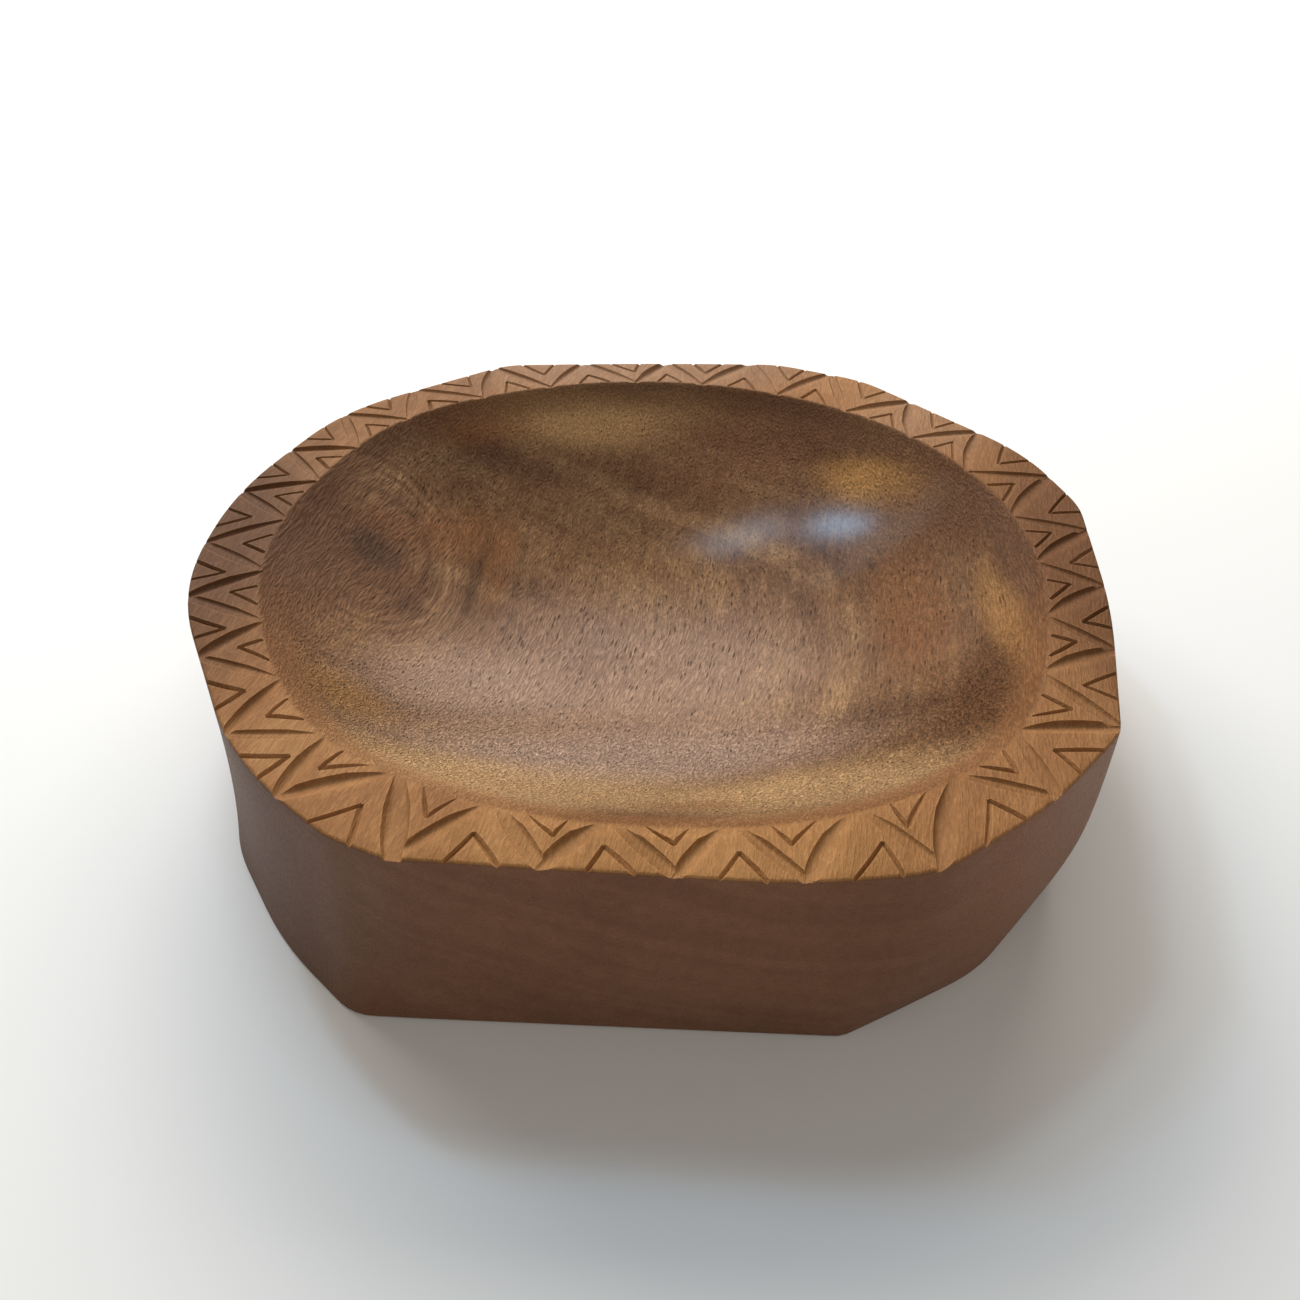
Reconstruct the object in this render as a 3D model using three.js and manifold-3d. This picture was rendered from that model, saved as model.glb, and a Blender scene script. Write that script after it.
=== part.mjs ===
// A bowl carved from one block of wood: a flat foot, undercut ends, a level rim and a dished hollow.
// The rim carries a ring of gouged zigzag teeth with a fine chevron cut inside each triangle.
// Millimetres. The origin is at the middle of the foot, X runs along the bowl and Z is up.
import * as THREE from "three";
import { mergeVertices } from "three/addons/utils/BufferGeometryUtils.js";
import Module from "manifold-3d";

const wasm = await Module();
wasm.setup();

// Driving dimensions.
const bowl = {
  height: 66,
  hollowDepth: 46,
  edgeRound: 0.9, // the softened outer and inner edges of the rim
  undercut: 3.1, // how late the wall turns in below the rim; 1 is a straight taper
  dishBelly: 2.2, // how flat the floor of the hollow is
  dishLip: 0.9, // how steeply the hollow leaves the rim; 1.06 is gentler
  dishLipFront: 1.06, // the same on the front side
  stations: 120, // steps round the bowl
};

// Corners of the block as the maker sawed it: x, y and how far along the sides the corner is worn.
const rimCorners = [
  [148.5, 24, 7],
  [139, 62, 18],
  [88, 125, 10],
  [54, 141.5, 8],
  [0, 144, 30],
  [-61, 143.5, 8],
  [-122, 102, 24],
  [-148, 40, 25],
  [-150.5, -20, 28],
  [-112.5, -100.5, 26],
  [-82, -128, 5],
  [-66, -136, 5],
  [36, -145.5, 18],
  [68, -142, 8],
  [101, -119.5, 14],
  [126, -93, 4],
  [141, -36, 20],
];
const footCorners = [
  [120, 32, 20],
  [92, 112, 25],
  [-76, 126, 20],
  [-124, 56, 25],
  [-138, -62, 22],
  [-109, -109, 15],
  [-84, -134, 6],
  [50, -142, 2],
  [91, -121, 10],
  [124, -84, 15],
];

// Reach of the hollow from the axis, in equal steps round from +X. It is a hand-drawn oval, fuller
// towards the back left and the front right.
const hollowReach = [
  125.5, 125, 124.5, 124, 125.5, 129, 134, 129.5, 127, 125.5, 127.5, 124.7, 125.2, 131, 135, 128,
];

// Where each gouge leaves the outer edge, in degrees from +X, and how far on towards the next
// notch its inner tip lies. The maker set the 27 teeth out by eye, so neither is quite even.
const notches = [
  3, 17, 32, 45, 60, 73, 87, 101, 115, 129, 141, 153, 165, 178, 190, 203, 218, 230, 245, 259, 272,
  284, 296, 311, 324, 337, 350,
];
const tipLeans = [
  0.36, 0.4, 0.39, 0.44, 0.42, 0.5, 0.4, 0.52, 0.42, 0.52, 0.52, 0.49, 0.46, 0.59, 0.63, 0.6, 0.65,
  0.52, 0.41, 0.43, 0.54, 0.72, 0.63, 0.43, 0.37, 0.35, 0.39,
];
const gouge = { width: 5.6, depth: 1.4, steepSide: 0.4, flatShare: 0.35 };
const fineCut = { width: 1.4, depth: 1.0, steepSide: 0.5, flatShare: 0.1 };
const overrun = 2.5; // how far a cut runs on past the edge it leaves by

// Points of a closed outline whose straight sides are joined by worn corners.
function wornOutline(corners) {
  const outline = new THREE.Path();
  corners.forEach(([x, y, reach], i) => {
    const corner = new THREE.Vector2(x, y);
    const towards = ([sideX, sideY]) =>
      new THREE.Vector2(sideX, sideY).sub(corner).setLength(reach).add(corner);
    const start = towards(corners.at(i - 1));
    const end = towards(corners[(i + 1) % corners.length]);
    if (i === 0) outline.moveTo(start.x, start.y);
    else outline.lineTo(start.x, start.y);
    outline.quadraticCurveTo(corner.x, corner.y, end.x, end.y);
  });
  outline.closePath();
  return outline.getPoints(10);
}

// How far the outline is from the origin in the direction of the angle.
function radiusOf(points, angle) {
  const ray = new THREE.Vector2(Math.cos(angle), Math.sin(angle));
  for (let i = 0; i < points.length; i++) {
    const start = points[i];
    const side = points[(i + 1) % points.length].clone().sub(start);
    const slant = ray.cross(side);
    const along = start.cross(ray) / slant;
    const radius = start.cross(side) / slant;
    if (radius > 0 && along >= 0 && along <= 1) return radius;
  }
  throw new Error("the outline does not go round the origin");
}

const rimPoints = wornOutline(rimCorners);
const footPoints = wornOutline(footCorners);
const hollowCurve = new THREE.CatmullRomCurve3(
  hollowReach.map((reach, i) => {
    const angle = (i / hollowReach.length) * 2 * Math.PI;
    return new THREE.Vector3(reach * Math.cos(angle), reach * Math.sin(angle), 0);
  }),
  true,
);
const hollowPoints = hollowCurve.getPoints(180).map(({ x, y }) => new THREE.Vector2(x, y));

const rimRadius = (angle) => radiusOf(rimPoints, angle);
const footRadius = (angle) => radiusOf(footPoints, angle);
const hollowRadius = (angle) => radiusOf(hollowPoints, angle);

// Rings of the outer wall from the foot up: late undercut, then nearly upright under the rim.
function wallSections(steps) {
  const wallHeight = bowl.height - bowl.edgeRound;
  return Array.from({ length: steps + 1 }, (_, i) => {
    const down = 1 - i / steps;
    const inset = down ** bowl.undercut;
    return {
      heightAt: () => wallHeight * (1 - down),
      radiusAt: (angle) => THREE.MathUtils.lerp(rimRadius(angle), footRadius(angle), inset),
    };
  });
}

// Depth of the hollow below the rim at a share of the way out from its middle.
function dishDepth(out, angle) {
  const front = Math.max(0, -Math.sin(angle)) ** 1.5;
  const lip = THREE.MathUtils.lerp(bowl.dishLip, bowl.dishLipFront, front);
  return bowl.hollowDepth * (1 - out ** bowl.dishBelly) ** lip;
}

// Rings of the hollow from just inside the rim down to the middle of its floor.
function dishSections(shares) {
  return shares.map((out) => ({
    heightAt: (angle) => bowl.height - dishDepth(out, angle),
    radiusAt: (angle) => out * hollowRadius(angle),
  }));
}

function bowlSections() {
  const level = (height) => () => height;
  const rim = level(bowl.height);
  return [
    { heightAt: level(0) },
    ...wallSections(7),
    { heightAt: rim, radiusAt: (angle) => rimRadius(angle) - bowl.edgeRound },
    { heightAt: rim, radiusAt: (angle) => hollowRadius(angle) + bowl.edgeRound },
    ...dishSections([0.992, 0.96, 0.91, 0.84, 0.74, 0.6, 0.42, 0.22]),
    { heightAt: level(bowl.height - bowl.hollowDepth) },
  ];
}

// A turned blank of unit radius whose rings are then drawn out to each section's own outline.
// A section without an outline is a point on the axis.
function drawnLathe(sections) {
  const profile = sections.map(({ heightAt, radiusAt }) =>
    new THREE.Vector2(radiusAt ? 1 : 0, heightAt(0)),
  );
  const blank = new THREE.LatheGeometry(profile, bowl.stations).rotateX(Math.PI / 2);
  const position = blank.getAttribute("position");
  for (let i = 0; i < position.count; i++) {
    const { heightAt, radiusAt } = sections[i % sections.length];
    if (!radiusAt) continue;
    const angle = Math.atan2(position.getY(i), position.getX(i));
    const radius = radiusAt(angle);
    position.setXYZ(i, radius * Math.cos(angle), radius * Math.sin(angle), heightAt(angle));
  }
  return blank;
}

function toSolid(geometry) {
  const bare = geometry.clone();
  bare.deleteAttribute("normal");
  bare.deleteAttribute("uv");
  const merged = mergeVertices(bare, 1e-3);
  return new wasm.Manifold(
    new wasm.Mesh({
      numProp: 3,
      vertProperties: merged.getAttribute("position").array,
      triVerts: new Uint32Array(merged.index.array),
    }),
  );
}

function toGeometry(solid) {
  const mesh = solid.getMesh();
  const geometry = new THREE.BufferGeometry();
  geometry.setAttribute("position", new THREE.BufferAttribute(mesh.vertProperties, 3));
  geometry.setIndex(new THREE.BufferAttribute(mesh.triVerts, 1));
  const faceted = geometry.toNonIndexed();
  faceted.computeVertexNormals();
  return faceted;
}

// A point on the rim: across is 0 on the edge of the hollow and 1 on the outer edge.
function onRim(angle, across) {
  const radius = THREE.MathUtils.lerp(hollowRadius(angle), rimRadius(angle), across);
  return new THREE.Vector3(radius * Math.cos(angle), radius * Math.sin(angle), bowl.height);
}

// The blade of a tool drawn along the rim from one point to another: a lopsided V with a blunt nose.
function bladeSolid(from, to, tool, beyondFrom = 0, beyondTo = 0) {
  const above = 1;
  const left = -tool.width * tool.steepSide;
  const right = left + tool.width;
  const section = new THREE.Shape([
    new THREE.Vector2(left * tool.flatShare, -tool.depth),
    new THREE.Vector2(right * tool.flatShare, -tool.depth),
    new THREE.Vector2(right, 0),
    new THREE.Vector2(right, above),
    new THREE.Vector2(left, above),
    new THREE.Vector2(left, 0),
  ]);
  const along = to.clone().sub(from).normalize();
  const up = new THREE.Vector3(0, 0, 1);
  const side = up.clone().cross(along);
  const start = from.clone().addScaledVector(along, -beyondFrom);
  const depth = from.distanceTo(to) + beyondFrom + beyondTo;
  const blade = new THREE.ExtrudeGeometry(section, { depth, bevelEnabled: false });
  blade.applyMatrix4(new THREE.Matrix4().makeBasis(side, up, along).setPosition(start));
  return toSolid(blade);
}

// Notch and inner tip angles of the teeth, in radians, running on past a full turn.
function toothAngles() {
  return notches.map((notch, i) => {
    const next = i + 1 < notches.length ? notches[i + 1] : notches[0] + 360;
    return {
      notch: THREE.MathUtils.degToRad(notch),
      tip: THREE.MathUtils.degToRad(notch + tipLeans[i] * (next - notch)),
      nextNotch: THREE.MathUtils.degToRad(next),
    };
  });
}

// A wide gouge. Every one is drawn towards the front, so the steep wall keeps to the same hand.
function gougeCut(innerTip, notch) {
  if (notch.y < innerTip.y) return bladeSolid(innerTip, notch, gouge, 0, overrun);
  return bladeSolid(notch, innerTip, gouge, overrun, 0);
}

// The two wide gouges that meet at a tooth's inner tip.
function zigzagCuts({ notch, tip, nextNotch }) {
  const innerTip = onRim(tip, 0.02);
  return [gougeCut(innerTip, onRim(notch, 1)), gougeCut(innerTip, onRim(nextNotch, 1))];
}

// A fine chevron that stands on one edge of the rim between two angles and points across it.
function chevronCuts(startAngle, endAngle, apexAngle, edge, apexAcross) {
  const footAt = (share) => onRim(THREE.MathUtils.lerp(startAngle, endAngle, share), edge);
  const apex = onRim(apexAngle, apexAcross);
  return [
    bladeSolid(footAt(0.27), apex, fineCut, overrun, 0),
    bladeSolid(apex, footAt(0.73), fineCut, 0, overrun),
  ];
}

function rimCuts() {
  const teeth = toothAngles();
  return teeth.flatMap((tooth, i) => {
    const turn = i === 0 ? 2 * Math.PI : 0;
    const previousTip = teeth.at(i - 1).tip - turn;
    return [
      ...zigzagCuts(tooth),
      ...chevronCuts(tooth.notch, tooth.nextNotch, tooth.tip, 1, 0.5),
      ...chevronCuts(previousTip, tooth.tip, tooth.notch, 0, 0.45),
    ];
  });
}

function carvedBowl() {
  const block = toSolid(drawnLathe(bowlSections()));
  const carved = block.subtract(wasm.Manifold.union(rimCuts()));
  const wood = new THREE.MeshStandardMaterial({ color: 0x7a4f33, roughness: 0.5, metalness: 0 });
  const mesh = new THREE.Mesh(toGeometry(carved), wood);
  mesh.name = "carved_bowl";
  return mesh;
}

const object = new THREE.Group();
object.add(carvedBowl());

export default object;
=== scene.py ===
import math
import random

import bmesh
import bpy
from mathutils import Euler, Matrix, Vector, noise


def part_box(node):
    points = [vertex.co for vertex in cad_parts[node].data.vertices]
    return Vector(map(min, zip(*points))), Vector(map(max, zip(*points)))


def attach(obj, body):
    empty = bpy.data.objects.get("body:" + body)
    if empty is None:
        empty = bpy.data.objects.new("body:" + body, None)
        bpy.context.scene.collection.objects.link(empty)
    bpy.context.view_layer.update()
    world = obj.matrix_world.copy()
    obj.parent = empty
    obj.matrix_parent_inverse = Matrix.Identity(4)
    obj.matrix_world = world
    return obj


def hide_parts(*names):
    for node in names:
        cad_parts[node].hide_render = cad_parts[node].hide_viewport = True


mm = 0.001
fullTurn = 2 * math.pi
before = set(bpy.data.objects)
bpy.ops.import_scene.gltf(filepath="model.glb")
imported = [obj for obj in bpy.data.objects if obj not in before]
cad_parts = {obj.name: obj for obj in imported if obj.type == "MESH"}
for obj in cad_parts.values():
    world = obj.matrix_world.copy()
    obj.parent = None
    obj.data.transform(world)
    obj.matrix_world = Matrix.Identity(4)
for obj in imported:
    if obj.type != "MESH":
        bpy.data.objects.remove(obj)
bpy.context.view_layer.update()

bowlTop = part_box("carved_bowl")[1][2]
rimHeight = bowlTop / mm

# block, hollow and rim of the bowl, in millimetres
bowlShape = {
    "stepsRound": 360,
    "wallSteps": 14,
    "undercut": 3.1,          # how late the wall turns in below the rim
    "edgeRound": 0.9,         # worn edges of the rim
    "footRound": 0.8,
    "lipBack": 0.35,          # softness of the edge of the hollow, behind and at the front
    "lipFront": 2.4,
    "frontFade": 1.5,         # how fast the worn front gives way to the crisp sides
    "slack": 0.1,             # keeps the worked surface just inside the sawn block
    "hollowDepth": 46,
    "dishBelly": 2.2,         # how flat the floor of the hollow is
    "dishLip": 0.9,           # how steeply the hollow leaves the rim; more is gentler
    "dishLipFront": 1.06,
    "handWobble": 0.35,       # how uneven the hand-worked walls are
    "wobblesRound": 2.2,
    "wobblesUp": 0.03,
    "wobbleFade": 8,          # the wall runs true again over this height at the foot and the rim
    "wallSeed": 3,
    "dishSeed": 9,
    "dishSpread": 90,         # length down the hollow that its wobble is read along
    "mergeReach": 0.01,
    "smoothAngle": 32,
}
edgeTurns = (30, 60, 90)      # rings round the worn outer edge, in degrees
rimShares = (0.15, 0.3, 0.45, 0.6, 0.72)      # rings of the level rim, from its outer edge inwards
lipSteps = (-3.2, -2.2, -1.4, -0.8, -0.4, -0.1, 0.2, 0.5, 0.9, 1.4, 2, 2.8)   # past the hollow's edge
dishShares = (0.97, 0.955, 0.935, 0.91, 0.88, 0.85, 0.81, 0.77, 0.73, 0.68, 0.63, 0.58, 0.53, 0.48,
              0.43, 0.38, 0.33, 0.28, 0.23, 0.18, 0.13, 0.09, 0.05)

# corners of the sawn block: x, y and how far along the sides each is worn
rimCorners = [
    (148.5, 24, 7), (139, 62, 18), (88, 125, 10), (54, 141.5, 8), (0, 144, 30), (-61, 143.5, 8),
    (-122, 102, 24), (-148, 40, 25), (-150.5, -20, 28), (-112.5, -100.5, 26), (-82, -128, 5),
    (-66, -136, 5), (36, -145.5, 18), (68, -142, 8), (101, -119.5, 14), (126, -93, 4),
    (141, -36, 20),
]
footCorners = [
    (120, 32, 20), (92, 112, 25), (-76, 126, 20), (-124, 56, 25), (-138, -62, 22),
    (-109, -109, 15), (-84, -134, 6), (50, -142, 2), (91, -121, 10), (124, -84, 15),
]
pointsPerCorner = 9

# reach of the hollow from the axis, in equal steps round from +X
hollowReach = [
    125.5, 125, 124.5, 124, 125.5, 129, 134, 129.5, 127, 125.5, 127.5, 124.7, 125.2, 131, 135, 128,
]


def deselectAll():
    if bpy.context.object and bpy.context.object.mode != "OBJECT":
        bpy.ops.object.mode_set(mode="OBJECT")
    bpy.ops.object.select_all(action="DESELECT")


def activate(piece):
    deselectAll()
    piece.select_set(True)
    bpy.context.view_layer.objects.active = piece


def mix(a, b, t):
    return a + (b - a) * t


def turnOf(x, y):
    # angle from +X, from nothing up to a full turn
    return math.atan2(y, x) % fullTurn


def wornOutline(corners):
    # straight sides joined by worn corners, as a list of flat points
    outline = []
    for i, (x, y, reach) in enumerate(corners):
        corner = Vector((x, y))
        before = Vector(corners[i - 1][:2])
        after = Vector(corners[(i + 1) % len(corners)][:2])
        start = corner + (before - corner).normalized() * reach
        end = corner + (after - corner).normalized() * reach
        for k in range(pointsPerCorner + 1):
            t = k / pointsPerCorner
            outline.append(start * (1 - t) ** 2 + corner * 2 * t * (1 - t) + end * t * t)
    return outline


def radiusOf(outline, angle):
    # distance from the axis to the outline along a ray
    ray = Vector((math.cos(angle), math.sin(angle)))
    hair = 1e-9
    for i, start in enumerate(outline):
        side = outline[(i + 1) % len(outline)] - start
        slant = ray.cross(side)
        if slant == 0:
            continue
        radius = start.cross(side) / slant
        along = start.cross(ray) / slant
        if radius > 0 and -hair <= along <= 1 + hair:
            return radius
    return 0


def ringTable(outline):
    # radius at every half step round the bowl, read back between steps
    steps = bowlShape["stepsRound"] * 2
    radii = [radiusOf(outline, fullTurn * k / steps) for k in range(steps)]

    def radiusAt(angle):
        place = angle / fullTurn * steps
        low = math.floor(place)
        return mix(radii[low % steps], radii[(low + 1) % steps], place - low)

    return radiusAt


rimRadius = ringTable(wornOutline(rimCorners))
footRadius = ringTable(wornOutline(footCorners))


def hollowRadius(angle):
    # smooth oval through the reaches above
    count = len(hollowReach)
    place = angle / fullTurn * count
    low = math.floor(place)
    t = place - low
    a, b, c, d = (hollowReach[(low + k) % count] for k in (-1, 0, 1, 2))
    square = (2 * a - 5 * b + 4 * c - d) * t**2
    cube = (3 * b - a - 3 * c + d) * t**3
    return 0.5 * (2 * b + (c - a) * t + square + cube)


def wobble(angle, height, seed):
    # slow unevenness left by hand tools
    spread = bowlShape["wobblesRound"]
    up = height * bowlShape["wobblesUp"] + seed
    place = Vector((math.cos(angle) * spread, math.sin(angle) * spread, up))
    return noise.noise(place) * bowlShape["handWobble"]


# each ring below is a function from the angle to a radius and a height
def wallRings():
    # outer wall from the foot to just under the rim
    rings = []
    low = bowlShape["footRound"]
    high = rimHeight - bowlShape["edgeRound"]
    fadeReach = bowlShape["wobbleFade"]
    seed = bowlShape["wallSeed"]
    for k in range(bowlShape["wallSteps"] + 1):
        height = mix(low, high, k / bowlShape["wallSteps"])
        inset = (1 - height / high) ** bowlShape["undercut"]
        fade = min(1, height / fadeReach, (high - height) / fadeReach)
        rings.append(lambda a, i=inset, h=height, f=fade: (
            mix(rimRadius(a), footRadius(a), i) + wobble(a, h, seed) * f - bowlShape["slack"], h))
    return rings


def rimRings():
    # over the worn outer edge and in across the level rim
    rings = []
    edge = bowlShape["edgeRound"]
    for turn in edgeTurns:
        bend = math.radians(turn)
        rings.append(lambda a, b=bend: (
            rimRadius(a) - bowlShape["slack"] - edge * (1 - math.cos(b)),
            rimHeight - edge + edge * math.sin(b)))
    for share in rimShares:
        rings.append(lambda a, t=share: (mix(rimRadius(a) - edge, hollowRadius(a), t), rimHeight))
    return rings


def frontShare(angle):
    # 1 at the front of the bowl, fading to 0 at its sides
    return max(0, -math.sin(angle)) ** bowlShape["frontFade"]


def dishDrop(angle, inward):
    # how far the surface lies below the rim, at a distance inside the edge of the hollow
    share = 1 - inward / hollowRadius(angle)
    front = frontShare(angle)
    drop = inward
    if inward > 0:
        lip = mix(bowlShape["dishLip"], bowlShape["dishLipFront"], front)
        drop = bowlShape["hollowDepth"] * (1 - share ** bowlShape["dishBelly"]) ** lip
    # the edge of the hollow is worn round at the front and still crisp behind
    soft = mix(bowlShape["lipBack"], bowlShape["lipFront"], front)
    return 0.5 * (drop + math.sqrt(drop * drop + soft * soft))


def dishRings():
    # over the edge of the hollow and down its side to near the middle of the floor
    rings = []
    spread = bowlShape["dishSpread"]
    seed = bowlShape["dishSeed"]
    for inward in lipSteps:
        rings.append(lambda a, d=inward: (hollowRadius(a) - d, rimHeight - dishDrop(a, d)))
    for share in dishShares:
        rings.append(lambda a, s=share: (
            s * hollowRadius(a),
            rimHeight - dishDrop(a, (1 - s) * hollowRadius(a)) + wobble(a, spread * s, seed)))
    return rings


def placeRing(verts, ringAt):
    for vert in verts:
        angle = turnOf(vert.co.x, vert.co.y)
        radius, height = ringAt(angle)
        vert.co = (radius * mm * math.cos(angle), radius * mm * math.sin(angle), height * mm)


def makeBlock():
    # the uncarved bowl: a disc for the foot, drawn up ring by ring, over the rim and down the hollow
    deselectAll()
    bpy.ops.mesh.primitive_circle_add(vertices=bowlShape["stepsRound"], radius=0.1, fill_type="NGON")
    block = bpy.context.object
    block.name = "bowl"
    bpy.ops.object.mode_set(mode="EDIT")
    mesh = bmesh.from_edit_mesh(block.data)
    placeRing(mesh.verts, lambda a: (footRadius(a) - bowlShape["footRound"], 0))
    bpy.ops.mesh.select_all(action="DESELECT")
    bpy.ops.mesh.select_mode(type="EDGE")
    for edge in mesh.edges:
        edge.select = True
    for ringAt in wallRings() + rimRings() + dishRings():
        bpy.ops.mesh.extrude_edges_move()
        mesh = bmesh.from_edit_mesh(block.data)
        placeRing([v for v in mesh.verts if v.select], ringAt)
        bmesh.update_edit_mesh(block.data)
    bpy.ops.mesh.extrude_edges_move()
    bpy.ops.mesh.merge(type="CENTER")
    bpy.ops.mesh.select_all(action="SELECT")
    bpy.ops.mesh.normals_make_consistent(inside=False)
    bpy.ops.object.mode_set(mode="OBJECT")
    return block


# the slots of the bowl: 0 is the top, rim and hollow; 1 the outer wall and the foot
faceSorting = {
    "rimBand": 0.4,           # faces this close under the rim's level belong to the top
    "lipReach": 4,            # and so do all those nearer the axis than this past the hollow's edge
    "leastTilt": 0.05,        # unless they face sideways or down
}


def sortFaces(block):
    for face in block.data.polygons:
        x, y, z = (part / mm for part in face.center)
        inHollow = math.hypot(x, y) < hollowRadius(turnOf(x, y)) + faceSorting["lipReach"]
        onTop = z > rimHeight - faceSorting["rimBand"] or inHollow
        face.material_index = 0 if onTop and face.normal.z > faceSorting["leastTilt"] else 1


# gouged teeth round the rim: angle of each outer notch and how far on its inner tip lies
toothNotches = [
    3, 17, 32, 45, 60, 73, 87, 101, 115, 129, 141, 153, 165, 178, 190, 203, 218, 230, 245, 259,
    272, 284, 296, 311, 324, 337, 350,
]
tipLeans = [
    0.36, 0.4, 0.39, 0.44, 0.42, 0.5, 0.4, 0.52, 0.42, 0.52, 0.52, 0.49, 0.46, 0.59, 0.63, 0.6,
    0.65, 0.52, 0.41, 0.43, 0.54, 0.72, 0.63, 0.43, 0.37, 0.35, 0.39,
]
# across is 0 at the edge of the hollow and 1 at the outer edge of the rim
carving = {
    "tipGap": 1.1,            # half the gap between the two cuts that meet at an inner tip
    "leftTipAcross": 0.02,
    "rightTipAcross": 0,
    "overrun": 2.5,           # how far a cut runs on past the outer edge
    "wideTooth": 17,          # the tooth whose second gouge slipped wide, and how much wider
    "wideShare": 1.75,
    "unevenness": 0.18,       # how much width and depth vary from cut to cut
    "outerFeet": (0.33, 0.69),     # feet of the chevron inside each triangle, as shares of its base
    "innerFeet": (0.31, 0.67),
    "innerFootAcross": 0.02,
    "outerApex": 0.52,
    "innerApex": 0.40,
    "swell": 0.4,             # share of a cut over which the blade sinks to its full size
    "runOut": 1.15,           # where it would come out again, in lengths of the cut
    "pathSteps": 8,
    "handSeed": 7,
}
# sections go across from -1 to 1 in half widths, with the depth as a share; bow is a share of the
# cut's length, startOver is how far before its start the blade goes in, taper its size there
leaningSection = [
    (-1, 0), (-0.9, 0.4), (-0.78, 0.75), (-0.62, 0.96), (-0.4, 1), (-0.1, 0.88), (0.2, 0.66),
    (0.5, 0.4), (0.78, 0.16), (1, 0),
]
tools = {
    "gouge": {"section": leaningSection, "width": 5.4, "depth": 1.35, "bow": -0.035,
              "startOver": 1, "taper": 0.5},
    "gougeTurned": {"section": [(-x, depth) for x, depth in reversed(leaningSection)], "width": 5.4,
                    "depth": 1.35, "bow": 0.035, "startOver": 1, "taper": 0.5},
    "flatGouge": {"section": [(-1, 0), (-0.9, 0.45), (-0.78, 0.85), (-0.62, 1), (-0.2, 0.86),
                              (0.25, 0.8), (0.6, 0.9), (0.76, 0.75), (0.9, 0.35), (1, 0)],
                  "width": 4.6, "depth": 0.95, "bow": 0, "startOver": 1, "taper": 0.5},
    "knife": {"section": [(-1, 0), (-0.3, 0.75), (-0.1, 1), (0.1, 0.95), (1, 0)],
              "width": 1.75, "depth": 1.05, "bow": 0.014, "startOver": 0.3, "taper": 0.85},
}
bladeAbove = 1.5              # how far a blade stands above the rim


def rimPoint(angle, across):
    radius = mix(hollowRadius(angle), rimRadius(angle), across)
    return Vector((radius * math.cos(angle), radius * math.sin(angle)))


def makeBlade(name, section):
    # a long blade modelled once: its section as a flat face, drawn along in equal steps
    outline = [(-1, -bladeAbove)] + section + [(1, -bladeAbove)]
    deselectAll()
    bpy.ops.mesh.primitive_circle_add(vertices=len(outline), radius=1, fill_type="NGON")
    blade = bpy.context.object
    blade.name = name
    for vert, (across, down) in zip(blade.data.vertices, outline):
        vert.co = (0, across, -down)
    bpy.ops.object.mode_set(mode="EDIT")
    bpy.ops.mesh.select_all(action="SELECT")
    for _ in range(carving["pathSteps"]):
        bpy.ops.mesh.extrude_region_move(TRANSFORM_OT_translate={"value": (1 / carving["pathSteps"], 0, 0)})
    bpy.ops.mesh.select_all(action="SELECT")
    bpy.ops.mesh.normals_make_consistent(inside=False)
    bpy.ops.object.mode_set(mode="OBJECT")
    return blade


def runBlade(blades, toolName, start, end, endOver, widthShare, depthShare):
    # one cut: a copy of the blade laid along a slightly bowed path on the rim
    tool = tools[toolName]
    cut = bpy.data.objects.new("cut", blades[toolName].data.copy())
    bpy.context.collection.objects.link(cut)
    along = (end - start).normalized()
    side = Vector((-along.y, along.x))
    length = (end - start).length
    halfWidth = tool["width"] * widthShare * 0.5
    depth = tool["depth"] * depthShare
    swell = carving["swell"]
    for vert in cut.data.vertices:
        share, across, lift = vert.co
        run = mix(-tool["startOver"], length + endOver, share)
        inner = min(1, max(0, run / length))
        sunk = max(0, min(1, inner / swell, (carving["runOut"] - inner) / swell))
        size = mix(tool["taper"], 1, sunk)
        arch = tool["bow"] * length * 4 * inner * (1 - inner)
        flat = start + along * run + side * (across * halfWidth * size + arch)
        height = rimHeight + (lift * depth * size if lift < 0 else lift)
        vert.co = (flat.x * mm, flat.y * mm, height * mm)
    return cut


def uneven(hand):
    # neither hand nor tool is ever quite even
    return 1 + carving["unevenness"] * hand.uniform(-1, 1)


def cutTooth(blades, innerTip, notch, hand, wider=1):
    # legs that lean one way are cut with a flat gouge, the others with a leaning gouge whose steep
    # wall is always the back one
    leg = notch - innerTip
    width = wider * uneven(hand)
    depth = uneven(hand)
    if leg.x * leg.y < 0:
        return runBlade(blades, "flatGouge", innerTip, notch, carving["overrun"], width, depth * wider)
    toolName = "gougeTurned" if leg.y > 0 else "gouge"
    return runBlade(blades, toolName, innerTip, notch, carving["overrun"], width, depth)


def toothAngles():
    teeth = []
    for i, notch in enumerate(toothNotches):
        following = toothNotches[i + 1] if i + 1 < len(toothNotches) else toothNotches[0] + 360
        tip = notch + tipLeans[i] * (following - notch)
        teeth.append((math.radians(notch), math.radians(tip), math.radians(following)))
    return teeth


def cutChevron(blades, hand, low, high, footAcross, endOver, apex, feet):
    # two knife cuts from the apex down to feet between two angles on one edge of the rim
    cuts = []
    for share in feet:
        foot = rimPoint(mix(low, high, share), footAcross)
        width = uneven(hand)
        cuts.append(runBlade(blades, "knife", apex, foot, endOver, width, uneven(hand)))
    return cuts


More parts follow.
